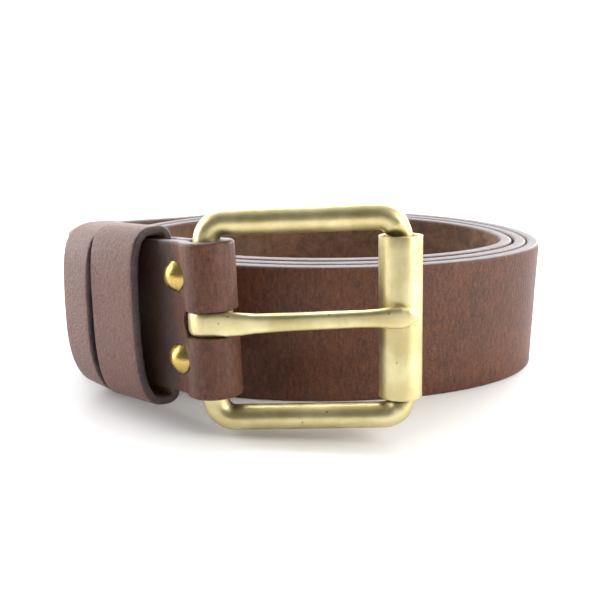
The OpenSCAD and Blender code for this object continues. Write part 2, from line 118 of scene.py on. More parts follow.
FRONT_MID = FACE_Y - STRAP_T / 2
TAB_FACE = FACE_Y - STRAP_T - CLEARANCE
KEEPER_FACE = TAB_FACE - KEEPER_T - CLEARANCE
SLIDING_BACK = KEEPER_FACE - TAB_T - 1.2 - KEEPER_T
FOLD_R = BAR_R + CLEARANCE + STRAP_T / 2
DIP_R, TAB_DIP_R = 10.0, 5.0
TAB_MID = TAB_FACE - STRAP_T / 2
DIP_X = math.sqrt((FOLD_R + DIP_R) ** 2 - (FRONT_MID + DIP_R) ** 2)
DIP_A = math.degrees(math.atan2(DIP_X, FRONT_MID + DIP_R))
TAB_DIP_X = math.sqrt((FOLD_R + TAB_DIP_R) ** 2 - (TAB_DIP_R - TAB_MID) ** 2)
TAB_DIP_A = math.degrees(math.atan2(TAB_DIP_X, TAB_DIP_R - TAB_MID))
EYE_R = BAR_R + CLEARANCE + EYE_WALL
SLOT_H = 6.55
SLOT_Z = -0.68
STEP_IN = (TAB_DIP_X + 1, FIXED_X - KEEPER_SKEW - 1.4)
STEP_OUT = (FIXED_X + FIXED_W - KEEPER_SKEW + 1, FIXED_X + FIXED_W + 2)
ROLLER_X = BAR_PITCH + ROLLER_BAR_OUT
SLIDING_X = FIXED_X + FIXED_W + SLIDING_GAP + SLIDING_W / 2
FRONT_BACK_Y = TAB_FACE - STRAP_T
REAR_BACK_Y = TAB_FACE - TAB_T


# ------------------------------------------------------------------ places

def turn(axis, degrees):
    return np.array(Matrix.Rotation(math.radians(degrees), 3, axis))


END_TURN = turn("Z", END_HEADING) @ turn("Y", END_SLOPE) @ turn("X", END_LEAN)
BUCKLE_TURN = END_TURN @ turn("Z", 180 + FRAME_TURN)
BUCKLE_POS = BAR_POS + END_TURN @ np.array([0, 0, -FRAME_DROP])
BEND_CENTRE = np.array([STRAIGHT_LEN, FRONT_MID - BEND_R])


def end_place(points):
    """Buckle-end frame to the part's frame: x along the strap, y to the front, z up the strap."""
    return BAR_POS + np.asarray(points, float) @ END_TURN.T


def buckle_place(points):
    """Buckle frame to the part's frame: x to the roller, y away from the front, z along the heel bar."""
    return BUCKLE_POS + np.asarray(points, float) @ BUCKLE_TURN.T


def bend_at(s):
    return math.degrees(max(0.0, s - STRAIGHT_LEN) / BEND_R)


def on_bend(points, angle):
    """Frame on the strap's bend, turned about its centre, to the part's frame."""
    lifted = np.asarray(points, float) + np.array([0, BEND_R - FRONT_MID, 0])
    turned = lifted @ turn("Z", -angle).T + np.array([BEND_CENTRE[0], BEND_CENTRE[1], 0])
    return end_place(turned)


def unit(v):
    return v / np.linalg.norm(v)


def smooth(v):
    v = min(max(v, 0.0), 1.0)
    return v * v * (3 - 2 * v)


def arc(centre, radius, start, end, count):
    return [
        [centre[0] + radius * math.cos(math.radians(a)), centre[1] + radius * math.sin(math.radians(a))]
        for a in np.linspace(start, end, count + 1)
    ]


# ------------------------------------------------------------------ line of the strap

def front_point(s):
    if s <= STRAIGHT_LEN:
        return np.array([s, FRONT_MID]), np.array([0.0, 1.0])
    a = math.radians(bend_at(s))
    n = np.array([math.sin(a), math.cos(a)])
    return BEND_CENTRE + BEND_R * n, n


def ramp(s, pair):
    return smooth((s - pair[0]) / (pair[1] - pair[0]))


def tab_station(s):
    point, normal = front_point(s)
    face = TAB_FACE + (KEEPER_FACE - TAB_FACE) * (ramp(s, STEP_IN) - ramp(s, STEP_OUT))
    thick = STRAP_T + (TAB_T - STRAP_T) * ramp(s, STEP_IN)
    return point + normal * (face - thick / 2 - FRONT_MID), thick


def end_stations():
    """Middle line of the leather and its thickness: the tab, the fold round the heel bar, the front ply."""
    line, thick = [], []
    for s in np.linspace(TAB_LEN, TAB_DIP_X + 0.3, 60):
        p, t = tab_station(s)
        line.append(p)
        thick.append(t)
    fold = (
        arc((TAB_DIP_X, TAB_MID - TAB_DIP_R), TAB_DIP_R, 90, 90 + TAB_DIP_A, 10)
        + arc((0, 0), FOLD_R, 270 + TAB_DIP_A - 3, 90 - DIP_A + 3, 60)
        + arc((DIP_X, FRONT_MID + DIP_R), DIP_R, 270 - DIP_A, 270, 12)
    )
    front_end = STRAIGHT_LEN + BEND_R * math.radians(BEND_ANGLE)
    front = [front_point(s)[0] for s in np.linspace(DIP_X + 1, front_end, 62)]
    for p in fold + front:
        line.append(np.array(p))
        thick.append(STRAP_T)
    return line, thick


def half_axis(angle):
    c, s = math.cos(math.radians(angle)), math.sin(math.radians(angle))
    return (COIL_RIGHT if c >= 0 else COIL_LEFT), (COIL_BACK if s >= 0 else COIL_FRONT), c, s


def coil_point(angle):
    hx, hy, c, s = half_axis(angle)
    n = unit(np.array([c / hx, s / hy]))
    turns = (90 - angle) / 360
    inset = TURN_PITCH * turns + FREE_GAP * smooth((turns - FREE_FROM) / FREE_OVER) + STRAP_T / 2
    return COIL_CENTRE + np.array([hx * c, hy * s]) - n * inset


def left_of(v):
    return np.array([-v[1], v[0]])


def travel(line, i):
    return unit(np.asarray(line[min(i + 1, len(line) - 1)]) - np.asarray(line[max(i - 1, 0)]))


def running(line):
    steps = np.linalg.norm(np.diff(np.asarray(line), axis=0), axis=1)
    return np.concatenate([[0.0], np.cumsum(steps)])


def strap_stations():
    """Stations of the strap: centres, normals, up vectors, thicknesses, half widths; and the coil."""
    centres, normals, ups, thicks, halves = [], [], [], [], []
    line, thick = end_stations()
    for i, p in enumerate(line):
        n = left_of(travel(line, i))
        centres.append(end_place([p[0], p[1], 0]))
        normals.append(END_TURN @ np.array([n[0], n[1], 0]))
        ups.append(END_TURN @ np.array([0, 0, 1.0]))
        thicks.append(thick[i])
        halves.append(STRAP_W / 2)
    start = centres[-1]
    bend = math.radians(BEND_ANGLE)
    end_dir = END_TURN @ np.array([math.cos(bend), -math.sin(bend), 0])
    angles = np.append(np.arange(JOIN_ANGLE, 90 - 360 * COIL_TURNS, -1.25), 90 - 360 * COIL_TURNS)
    coil = [coil_point(a) for a in angles]
    d0 = unit(end_dir[:2])
    d1 = unit(coil_point(JOIN_ANGLE - 1) - coil_point(JOIN_ANGLE + 1))
    p0, p3 = start[:2], coil[0]
    p1, p2 = p0 + d0 * JOIN_REACH[0], p3 - d1 * JOIN_REACH[1]
    join = [
        p0 * (1 - t) ** 3 + p1 * 3 * t * (1 - t) ** 2 + p2 * 3 * t * t * (1 - t) + p3 * t**3
        for t in np.linspace(0, 1, 49)
    ]
    run = running(join)
    length = run[-1]
    drop = start[2] - STRAP_W / 2
    fall = -end_dir[2] / np.linalg.norm(end_dir[:2])
    up = END_TURN @ np.array([0, 0, 1.0])
    lean = -(up[:2] @ left_of(d0)) / up[2]

    def lift(v):
        return drop * (1 - v) ** 2 * (1 + (2 - fall * length / drop) * v)

    for i in range(1, len(join) - 1):
        v = run[i] / length
        d = travel(join, i)
        n = np.append(left_of(d), 0)
        slope = (lift(v - 0.001) - lift(v + 0.001)) / (0.002 * length)
        w = unit(np.array([0, 0, 1.0]) + np.append(d, 0) * slope - n * lean * (1 - v) ** 2)
        centres.append(np.array([join[i][0], join[i][1], STRAP_W / 2 + lift(v)]))
        normals.append(unit(n - w * (n @ w)))
        ups.append(w)
        thicks.append(STRAP_T)
        halves.append(STRAP_W / 2)
    coil_run = running(coil)
    for i, p in enumerate(coil):
        left = coil_run[-1] - coil_run[i]
        narrow = STRAP_W / 2
        if left < TIP_LEN:
            narrow = 3 + (STRAP_W / 2 - 3) * math.sin(math.radians(90 * left / TIP_LEN)) ** 0.6
        centres.append(np.array([p[0], p[1], STRAP_W / 2]))
        normals.append(np.append(left_of(travel(coil, i)), 0))
        ups.append(np.array([0, 0, 1.0]))
        thicks.append(STRAP_T)
        halves.append(narrow)
    return [np.array(a) for a in (centres, normals, ups, thicks, halves)], (angles, coil_run)


# ------------------------------------------------------------------ mesh helpers

def new_piece(name, verts, faces, materials, indices=None, uv=None):
    """Mesh object at the origin from points in millimetres."""
    mesh = bpy.data.meshes.new(name)
    mesh.from_pydata([tuple(v) for v in np.asarray(verts, float) * MM], [], faces)
    for m in materials:
        mesh.materials.append(m)
    if indices is not None:
        mesh.polygons.foreach_set("material_index", indices)
    if uv is not None:
        layer = mesh.uv_layers.new(name="strap_uv")
        loops = np.zeros(len(mesh.loops), np.int32)
        mesh.loops.foreach_get("vertex_index", loops)
        layer.data.foreach_set("uv", (np.asarray(uv, np.float32)[loops] * MM).ravel())
    mesh.update()
    obj = bpy.data.objects.new(name, mesh)
    bpy.context.scene.collection.objects.link(obj)
    return obj


def tidy_normals(obj, merge=1e-6):
    """Merges doubles, unless merge is 0, and turns every face outwards."""
    bm = bmesh.new()
    bm.from_mesh(obj.data)
    if merge:
        bmesh.ops.remove_doubles(bm, verts=bm.verts, dist=merge)
    bmesh.ops.recalc_face_normals(bm, faces=bm.faces)
    bm.to_mesh(obj.data)
    bm.free()


def shade(obj, degrees=38):
    obj.data.polygons.foreach_set("use_smooth", [True] * len(obj.data.polygons))
    obj.data.set_sharp_from_angle(angle=math.radians(degrees))
    obj.data.update()


def baked(obj):
    """Applies the object's modifiers and leaves a plain mesh."""
    depsgraph = bpy.context.evaluated_depsgraph_get()
    mesh = bpy.data.meshes.new_from_object(
        obj.evaluated_get(depsgraph), preserve_all_data_layers=True, depsgraph=depsgraph
    )
    old = obj.data
    obj.modifiers.clear()
    obj.data = mesh
    bpy.data.meshes.remove(old)
    return obj


def cut(obj, cutter):
    """Takes cutter away from obj, with the cutter's own materials on the cut faces."""
    mod = obj.modifiers.new("cut", "BOOLEAN")
    mod.operation = "DIFFERENCE"
    mod.solver = "EXACT"
    mod.material_mode = "TRANSFER"
    mod.object = cutter
    baked(obj)
    bpy.data.objects.remove(cutter)
    return obj


def rounded_section(corner, corner_steps, thick_steps, width_steps):
    """Points round a rounded bar, each with the signs of its side and its offset from the corner's centre."""
    points = []
    for k, (sy, sz, a0) in enumerate([(1, -1, -90), (1, 1, 0), (-1, 1, 90), (-1, -1, 180)]):
        for a in np.linspace(a0, a0 + 90, corner_steps + 1):
            ca, sa = math.cos(math.radians(a)), math.sin(math.radians(a))
            points.append((sy, sz, ca * corner, sa * corner))
        count = width_steps if k in (0, 2) else thick_steps
        end = [(1, 1), (-1, 1), (-1, -1), (1, -1)][k]
        offset = [(corner, 0), (0, corner), (-corner, 0), (0, -corner)][k]
        for f in np.linspace(0, 1, count + 1)[1:-1]:
            points.append((sy + (end[0] - sy) * f, sz + (end[1] - sz) * f, *offset))
    return points


def strip_faces(rows, columns, close_rows=False, close_columns=True):
    faces = []
    for i in range(rows if close_rows else rows - 1):
        for j in range(columns if close_columns else columns - 1):
            a, b = i * columns + j, i * columns + (j + 1) % columns
            c, d = ((i + 1) % rows) * columns + (j + 1) % columns, ((i + 1) % rows) * columns + j
            faces.append((a, b, c, d))
    return faces


def end_caps(rows, columns):
    """The two end faces of a row of closed rings."""
    return [tuple(range(columns)), tuple(reversed(range((rows - 1) * columns, rows * columns)))]


def revolve(name, profile, materials, segments=96, closed=False):
    """Turns a profile of (radius, height) pairs about z."""
    verts = []
    for a in np.linspace(0, 2 * math.pi, segments, endpoint=False):
        verts += [(r * math.cos(a), r * math.sin(a), z) for r, z in profile]
    faces = strip_faces(segments, len(profile), close_rows=True, close_columns=closed)
    obj = new_piece(name, verts, faces, materials)
    tidy_normals(obj)
    return obj


def wobble(points, seed, size, amount):
    """Soft, repeatable unevenness of handmade leather, in millimetres."""
    rng = np.random.default_rng(seed)
    p = np.asarray(points, float) / size
    total = np.zeros(len(p))
    for k in range(6):
        direction = rng.normal(size=3)
        total += np.sin(p @ direction * (1 + 0.35 * k) * 2.2 + rng.uniform(0, 6.28)) / (1 + 0.4 * k)
    return total * amount / 3.2


# ------------------------------------------------------------------ node tree helpers

def new_tree(name, *inputs):
    """Geometry node tree from geometry to geometry, with named (kind, label, default) inputs."""
    tree = bpy.data.node_groups.new(name, "GeometryNodeTree")
    face = tree.interface
    face.new_socket("Geometry", in_out="INPUT", socket_type="NodeSocketGeometry")
    for kind, label, value in inputs:
        face.new_socket(label, in_out="INPUT", socket_type=kind).default_value = value
    face.new_socket("Geometry", in_out="OUTPUT", socket_type="NodeSocketGeometry")
    return tree, tree.nodes, tree.links, tree.nodes.new("NodeGroupInput")


def attribute(tree, name, data_type="FLOAT_VECTOR"):
    """Socket that reads a named attribute of the points."""
    read = tree.nodes.new("GeometryNodeInputNamedAttribute")
    read.data_type = data_type
    read.inputs["Name"].default_value = name
    return read.outputs["Attribute"]


def end_tree(tree, geometry, material):
    """Ends a tree: instances made real, then the material set."""
    real = tree.nodes.new("GeometryNodeRealizeInstances")
    dressed = tree.nodes.new("GeometryNodeSetMaterial")
    dressed.inputs["Material"].default_value = material
    result = tree.nodes.new("NodeGroupOutput")
    tree.links.new(geometry, real.inputs["Geometry"])
    tree.links.new(real.outputs["Geometry"], dressed.inputs["Geometry"])
    tree.links.new(dressed.outputs["Geometry"], result.inputs["Geometry"])
    return tree


# ------------------------------------------------------------------ shader expressions

class Value:
    """A socket in a shader tree; arithmetic on it adds Math nodes."""

    def __init__(self, tree, socket):
        self.tree, self.socket = tree, socket

    def _maths(self, operation, *values):
        return self.tree.node("ShaderNodeMath", {"operation": operation}, dict(enumerate(values)))

    def __add__(self, other):
        return self._maths("ADD", self, other)

    __radd__ = __add__

    def __mul__(self, other):
        return self._maths("MULTIPLY", self, other)

    __rmul__ = __mul__

    def __sub__(self, other):
        return self._maths("SUBTRACT", self, other)

    def __rsub__(self, other):
        return self._maths("SUBTRACT", other, self)

    def between(self, low, high):
        """0 at low, 1 at high, clamped."""
        return self.tree.node(
            "ShaderNodeMapRange", {"interpolation_type": "SMOOTHSTEP"},
            {"Value": self, "From Min": low, "From Max": high},
        )


class Finish:
    """A new material and the one method that adds its nodes."""

    def __init__(self, name, **constants):
        self.material = bpy.data.materials.new(name)
        self.material.use_nodes = True
        self.nodes = self.material.node_tree.nodes
        self.links = self.material.node_tree.links
        self.shader = self.nodes["Principled BSDF"]
        for socket, value in constants.items():
            self.shader.inputs[socket.replace("_", " ")].default_value = value

    def node(self, kind, settings=None, inputs=None, output=0):
        made = self.nodes.new(kind)
        for key, value in (settings or {}).items():
            if key == "stops":
                ramp_node = made.color_ramp
                while len(ramp_node.elements) < len(value):
                    ramp_node.elements.new(0.5)
                for element, (place, colour) in zip(ramp_node.elements, value):
                    element.position, element.color = place, (*colour, 1)
            else:
                setattr(made, key, value)
        for key, value in (inputs or {}).items():
            socket = made.inputs[key]
            if isinstance(value, Value):
                self.links.new(value.socket, socket)
            else:
                socket.default_value = value
        return Value(self, made.outputs[output])

    def place(self, scale=(1, 1, 1), turn_by=(0, 0, 0)):
        coordinates = self.node("ShaderNodeTexCoord", output="Object")
        angles = [math.radians(a) for a in turn_by]
        inputs = {"Vector": coordinates, "Scale": scale, "Rotation": angles}
        return self.node("ShaderNodeMapping", None, inputs)

    def along(self, scale=(1, 1, 1)):
        uv = self.node("ShaderNodeUVMap", {"uv_map": "strap_uv"})
        return self.node("ShaderNodeMapping", None, {"Vector": uv, "Scale": scale})

    def noise(self, place, scale, detail=4.0, rough=0.55, twist=0.0):
        return self.node(
            "ShaderNodeTexNoise", None,
            {"Vector": place, "Scale": scale, "Detail": detail, "Roughness": rough, "Distortion": twist},
        )

    def cells(self, place, scale, feature="F1", output="Distance"):
        inputs = {"Vector": place, "Scale": scale}
        return self.node("ShaderNodeTexVoronoi", {"feature": feature}, inputs, output)

    def blend(self, factor, first, second):
        return self.node(
            "ShaderNodeMix", {"data_type": "RGBA"}, {0: factor, 6: first, 7: second}, output=2
        )

    def feed(self, socket, value):
        self.links.new(value.socket, self.shader.inputs[socket])
        return self

    def relief(self, *layers):
        """Stacks Bump nodes, each layer a (height, distance in metres, strength)."""
        normal = None
        for height, distance, strength in layers:
            inputs = {"Height": height, "Distance": distance, "Strength": strength}
            if normal is not None:
                inputs["Normal"] = normal
            normal = self.node("ShaderNodeBump", None, inputs)
        return self.feed("Normal", normal)


def rgba(colour):
    return (colour[0], colour[1], colour[2], 1.0)


def darker(colour, share):
    return [c * share for c in colour]


def grain_leather(name, dark, light, pebble, sheen, upright_share, bump, keeper_shadow_painted=False):
    """Waxed grain leather: pebbles, pores, upright streaks, darker clouds, rubbed high spots, painted crease
    shade and, if asked, a painted keeper shadow.
    """
    f = Finish(name, Specular_IOR_Level=0.38, Coat_Roughness=0.32)
    f.shader.inputs["Coat Weight"].default_value = sheen
    here = f.place()
    clouds = f.noise(here, 45, 5, 0.6, 0.4)
    streaks = f.noise(f.place((1, 1, 0.3), (9, 5, 0)), 1300, 4, 0.6, 0.3)
    fine = f.noise(here, 2600, 3, 0.6)
    grain = f.noise(here, pebble, 4, 0.55, 0.6)
    creases = f.cells(f.place((1, 1, 0.7)), pebble * 1.3, "DISTANCE_TO_EDGE")
    crease = creases.between(0.0, 0.12)
    streak_part = streaks * upright_share + grain * (1 - upright_share)
    tone = clouds * 0.25 + streak_part * 0.75
    colour = f.blend(tone.between(0.33, 0.7), rgba(dark), rgba(light))
    rubbed = f.blend(streak_part.between(0.56, 0.76) * 0.22, colour, rgba([min(1, c * 2.0) for c in light]))
    # Painted shade: the colour is darkened in the grain's creases.
    painted_shade = f.blend((1 - crease) * 0.3, rubbed, rgba(darker(dark, 0.45)))
    if keeper_shadow_painted:
        # Painted shadow of the keepers: the grain is darkened from 5.5 to 36 mm along the strap's run, where
        # the keepers shade the front ply at rest; it stays put if the sliding keeper moves.
        run = f.node("ShaderNodeSeparateXYZ", None, {"Vector": f.along()}, "X")
        keeper_shadow_zone = run.between(0.0055, 0.0115) * (1 - run.between(0.030, 0.036))
        painted_shade = f.blend(keeper_shadow_zone * 0.75, painted_shade, rgba(darker(dark, 0.3)))
    f.feed("Base Color", painted_shade)
    f.feed("Roughness", 0.36 + 0.14 * clouds + 0.16 * fine)
    f.relief((grain, bump, 0.9), (crease, 0.00005, 0.5), (streaks, 0.00008, 0.35), (fine, 0.00004, 0.3))
    return f.material


def cut_edge(name, dark, light):
    """Burnished cut edge: compressed layers along the strap, a little shine."""
    f = Finish(name, Specular_IOR_Level=0.5, Coat_Roughness=0.3)
    f.shader.inputs["Coat Weight"].default_value = 0.25
    fibres = f.noise(f.place((1, 1, 1)), 900, 6, 0.7)
    patches = f.noise(f.place(), 160, 3, 0.6)
    f.feed("Base Color", f.blend((fibres * 0.6 + patches * 0.4).between(0.35, 0.68), rgba(dark), rgba(light)))
    f.feed("Roughness", 0.45 + 0.22 * fibres)
    f.relief((fibres, 0.0001, 0.5), (patches, 0.0002, 0.25))
    return f.material


def flesh_side(name, dark, light):
    """Flesh side of the leather: smoothed fibres, mottled brown, hardly any shine."""
    f = Finish(name, Specular_IOR_Level=0.3, Sheen_Weight=0.08)
    here = f.place()
    mottle = f.noise(here, 210, 6, 0.7, 0.8)
    blotch = f.noise(here, 45, 3, 0.6)
    fibres = f.noise(f.place((1, 1, 0.4)), 1500, 4, 0.7)
    tone = mottle * 0.6 + blotch * 0.25 + fibres * 0.25
    f.feed("Base Color", f.blend(tone.between(0.38, 0.74), rgba(dark), rgba(light)))
    f.feed("Roughness", 0.62 + 0.2 * fibres)
    f.relief((mottle, 0.00018, 0.5), (fibres, 0.00012, 0.5))
    return f.material


def satin_brass(name, dark, light, rough, brushed):
    """Satin brass: brush lines, faint tarnish clouds, a few dark specks and small dents."""
    f = Finish(name, Metallic=1.0)
    here = f.place()
    lines = f.noise(f.place(brushed, (0, 0, 0)), 900, 4, 0.7)
    clouds = f.noise(here, 90, 4, 0.6)
    specks = f.cells(here, 420)
    rare = f.noise(here, 260, 2, 0.5)
    speck = (1 - specks.between(0.05, 0.16)) * rare.between(0.55, 0.62)
    colour = f.blend(clouds.between(0.35, 0.7), rgba(dark), rgba(light))
    colour = f.blend(speck * 0.75, colour, rgba([0.16, 0.11, 0.04]))
    f.feed("Base Color", colour)
    f.feed("Roughness", rough + 0.12 * clouds + 0.1 * lines)
    f.relief((lines, 0.00009, 0.4), (clouds, 0.0002, 0.12), (speck, 0.00008, 0.3))
    return f.material


# ------------------------------------------------------------------ properties

class BeltLeather(bpy.types.PropertyGroup):
    """Colours and finish of the leather."""

    grain_dark: bpy.props.FloatVectorProperty(
        name="Grain, dark", description="Darkest colour of the waxed grain side", subtype="COLOR", size=3,
        default=(0.042, 0.0128, 0.0060), min=0, max=1)
    grain_light: bpy.props.FloatVectorProperty(
        name="Grain, light", description="Lightest colour of the waxed grain side", subtype="COLOR", size=3,
        default=(0.168, 0.053, 0.0225), min=0, max=1)
    keeper_light: bpy.props.FloatVectorProperty(
        name="Keeper, light", description="Lightest colour of the keepers", subtype="COLOR", size=3,
        default=(0.19, 0.076, 0.051), min=0, max=1)
    edge_light: bpy.props.FloatVectorProperty(
        name="Cut edge, light", description="Lightest colour of the burnished edges", subtype="COLOR", size=3,
        default=(0.125, 0.088, 0.098), min=0, max=1)
    flesh_light: bpy.props.FloatVectorProperty(
        name="Flesh side, light", description="Lightest colour of the inner side", subtype="COLOR", size=3,
        default=(0.23, 0.125, 0.075), min=0, max=1)
    sheen: bpy.props.FloatProperty(
        name="Wax shine", description="Amount of shine on the grain side", default=0.08, min=0, max=1)


class BeltMetal(bpy.types.PropertyGroup):
    """Colours and finish of the brass."""

    brass_dark: bpy.props.FloatVectorProperty(
        name="Brass, dark", description="Darker colour of the satin brass", subtype="COLOR", size=3,
        default=(0.52, 0.44, 0.215), min=0, max=1)
    brass_light: bpy.props.FloatVectorProperty(
        name="Brass, light", description="Lighter colour of the satin brass", subtype="COLOR", size=3,
        default=(0.72, 0.64, 0.36), min=0, max=1)
    head_dark: bpy.props.FloatVectorProperty(
        name="Screw heads", description="Colour of the polished screw heads", subtype="COLOR", size=3,
        default=(0.60, 0.43, 0.13), min=0, max=1)
    roughness: bpy.props.FloatProperty(
        name="Roughness", description="Base roughness of the satin brass", default=0.29, min=0, max=1)


class BeltStudio(bpy.types.PropertyGroup):
    """Light and camera."""

    light_power: bpy.props.FloatProperty(
        name="Light power", description="Scale on every studio light", default=1.0, min=0, max=10)
    fill: bpy.props.FloatProperty(
        name="Fill", description="Strength of the even light from all round", default=0.2, min=0, max=5)
    lens: bpy.props.FloatProperty(
        name="Lens", description="Focal length of the camera", subtype="DISTANCE_CAMERA",
        default=48.0, min=10, max=200)
    camera_height: bpy.props.FloatProperty(
        name="Camera height", description="Height of the camera over the floor", unit="LENGTH",
        default=0.0895)
    camera_tilt: bpy.props.FloatProperty(
        name="Camera tilt", description="How far the camera looks down", subtype="ANGLE",
        default=math.radians(16.6))


FINISHES = {}


def finishes():
    """Makes the materials once and returns them by name."""
    if FINISHES:
        return FINISHES
    leather = bpy.context.scene.belt_leather
    metal = bpy.context.scene.belt_metal
    brass = (metal.brass_dark, metal.brass_light, metal.roughness)
    even, upright = (1, 1, 1), (1, 1, 0.04)
    # The strap's grain carries the painted shadow of the keepers (the last argument).
    FINISHES["grain"] = grain_leather(
        "strap_grain", leather.grain_dark, leather.grain_light, 1500, leather.sheen, 0.6, 0.0002, True
    )
    FINISHES["keeper"] = grain_leather(
        "keeper_grain", darker(leather.keeper_light, 0.6), leather.keeper_light, 1250, 0.16, 0.15, 0.0008
    )
    FINISHES["edge"] = cut_edge("strap_edge", darker(leather.edge_light, 0.42), leather.edge_light)
    FINISHES["keeper_edge"] = cut_edge("keeper_edge", (0.020, 0.009, 0.011), (0.075, 0.038, 0.044))
    FINISHES["flesh"] = flesh_side("flesh_side", darker(leather.flesh_light, 0.38), leather.flesh_light)
    FINISHES["punched"] = cut_edge("punched_edge", (0.05, 0.024, 0.016), (0.14, 0.07, 0.045))
    FINISHES["brass"] = satin_brass("brass_satin", *brass, even)
    FINISHES["roller"] = satin_brass("brass_roller", *brass, upright)
    FINISHES["heads"] = satin_brass("brass_heads", darker(metal.head_dark, 0.8), metal.head_dark, 0.18, even)
    FINISHES["wire"] = satin_brass("staple_wire", (0.30, 0.28, 0.24), (0.5, 0.47, 0.42), 0.3, even)
    return FINISHES


# ------------------------------------------------------------------ strap

def strap_body():
    (centres, normals, ups, thicks, halves), coil = strap_stations()
    section = rounded_section(1.0, 5, 3, 12)
    rows, columns = len(centres), len(section)
    run = running(centres)
    # The run along the strap starts where the front ply passes the heel bar; the painted keeper shadow on the
    # grain is placed along it.
    local = (centres - BAR_POS) @ END_TURN
    outermost = int(np.argmin(local[:NEAR_STATIONS, 0]))
    run = run - run[outermost + int(np.argmax(local[outermost:, 0] > 0))]
    verts = np.zeros((rows, columns, 3))
    uv = np.zeros((rows, columns, 2))
    for i in range(rows):
        corner = min(0.85, thicks[i] * 0.42)
        for j, (sy, sz, oy, oz) in enumerate(section):
            across = sy * (thicks[i] / 2 - corner) + oy * corner
            along = sz * (halves[i] - corner) + oz * corner
            verts[i, j] = centres[i] + normals[i] * across + ups[i] * along
            uv[i, j] = (run[i], along)
    flat = verts.reshape(-1, 3)
    out = np.repeat(normals, columns, axis=0)
    fade = np.repeat(np.clip(run / 20, 0.25, 1), columns)
    flat = flat + out * (wobble(flat, 3, 16, 0.045) * fade)[:, None]
    local = (flat - BAR_POS) @ END_TURN
    from_middle = (local[:, 0] - PINCH_X) / PINCH_LONG
    pinch = np.exp(-(from_middle**2) - ((local[:, 2] - SLOT_Z) / PINCH_HIGH) ** 4) * (local[:, 1] > BAR_R)
    outer = np.tile([1.0 if point[0] > 0.9 else 0.0 for point in section], rows)
    near = np.repeat(np.arange(rows) < NEAR_STATIONS, columns)
    flat = flat - out * (pinch * outer * near * PINCH_DEPTH)[:, None]
    faces = strip_faces(rows, columns)
    index = []
    for _ in range(rows - 1):
        for j in range(columns):
            a, b = section[j], section[(j + 1) % columns]
            middle = (a[2] + b[2]) / 2
            index.append(0 if middle > 0.55 else 2 if middle < -0.8 else 1)
    faces += end_caps(rows, columns)
    index += [1, 1]
    f = finishes()
    materials = [f["grain"], f["edge"], f["flesh"]]
    strap = new_piece("strap_leather", flat, faces, materials, index, uv.reshape(-1, 2))
    tidy_normals(strap, merge=0)
    return strap, coil


def placed_cylinder(name, place, r1, r2, y0, y1, segments=48):
    """Solid along y of a local frame, from y0 to y1; place maps local points to the part."""
    ring = np.linspace(0, 2 * math.pi, segments, endpoint=False)
    verts = [(r * math.cos(a), y, r * math.sin(a)) for r, y in ((r1, y0), (r2, y1)) for a in ring]
    faces = [(i, (i + 1) % segments, segments + (i + 1) % segments, segments + i) for i in range(segments)]
    faces += [tuple(reversed(range(segments))), tuple(range(segments, 2 * segments))]
    obj = new_piece(name, place(np.array(verts)), faces, [finishes()["punched"]])
    tidy_normals(obj)
    return obj


def slot_cutter():
    """Prong slot, round at its end in the front ply, and the room for the prong's eye."""
    half = SLOT_H / 2
    bend = np.linspace(-math.pi / 2, math.pi / 2, 17)
    flat = SLOT_END - half
    count = len(bend) + 2
    verts = []
    for y, bulge in ((-CUT_DEEP, 0), (-0.02, 0), (0.0, half), (CUT_DEEP, half)):
        verts.append((-CUT_OPEN, y, SLOT_Z - half))
        verts += [(flat + bulge * math.cos(a), y, SLOT_Z + half * math.sin(a)) for a in bend]
        verts.append((-CUT_OPEN, y, SLOT_Z + half))
    faces = strip_faces(4, count) + [tuple(reversed(range(count))), tuple(range(3 * count, 4 * count))]
    slot = new_piece("cut_slot", end_place(verts), faces, [finishes()["punched"]])
    ring = np.linspace(0, 2 * math.pi, 64, endpoint=False)
    room_r, high = EYE_R + 0.15, half + 0.03
    verts = [(room_r * math.cos(a), room_r * math.sin(a), SLOT_Z + z) for z in (-high, high) for a in ring]
    faces = strip_faces(2, len(ring)) + end_caps(2, len(ring))
    room = new_piece("cut_eye", end_place(verts), faces, [finishes()["punched"]])
    for cutter in (slot, room):
        tidy_normals(cutter)
    return [slot, room]


def punch_tree():
    """Geometry nodes: one punch on every point of a path, facing along the point's normal."""
    tree, nodes, links, given = new_tree(
        "punches_on_path",
        ("NodeSocketFloat", "Radius", HOLE_D / 2 * MM),
        ("NodeSocketFloat", "Depth", PUNCH_DEPTH * MM),
    )
    punch = nodes.new("GeometryNodeMeshCylinder")
    punch.inputs["Vertices"].default_value = 40
    links.new(given.outputs["Radius"], punch.inputs["Radius"])
    links.new(given.outputs["Depth"], punch.inputs["Depth"])
    align = nodes.new("FunctionNodeAlignRotationToVector")
    align.axis = "Z"
    links.new(attribute(tree, "facing"), align.inputs["Vector"])
    placed = nodes.new("GeometryNodeInstanceOnPoints")
    links.new(given.outputs["Geometry"], placed.inputs["Points"])
    links.new(punch.outputs["Mesh"], placed.inputs["Instance"])
    links.new(align.outputs["Rotation"], placed.inputs["Rotation"])
    return end_tree(tree, placed.outputs["Instances"], finishes()["punched"])


def points_with(name, points, **attributes):
    """A mesh of loose points in millimetres with vector attributes, for a node tree to stand pieces on."""
    obj = new_piece(name, points, [], [])
    for key, values in attributes.items():
        layer = obj.data.attributes.new(key, "FLOAT_VECTOR", "POINT")
        layer.data.foreach_set("vector", np.asarray(values, np.float32).ravel())
    return obj


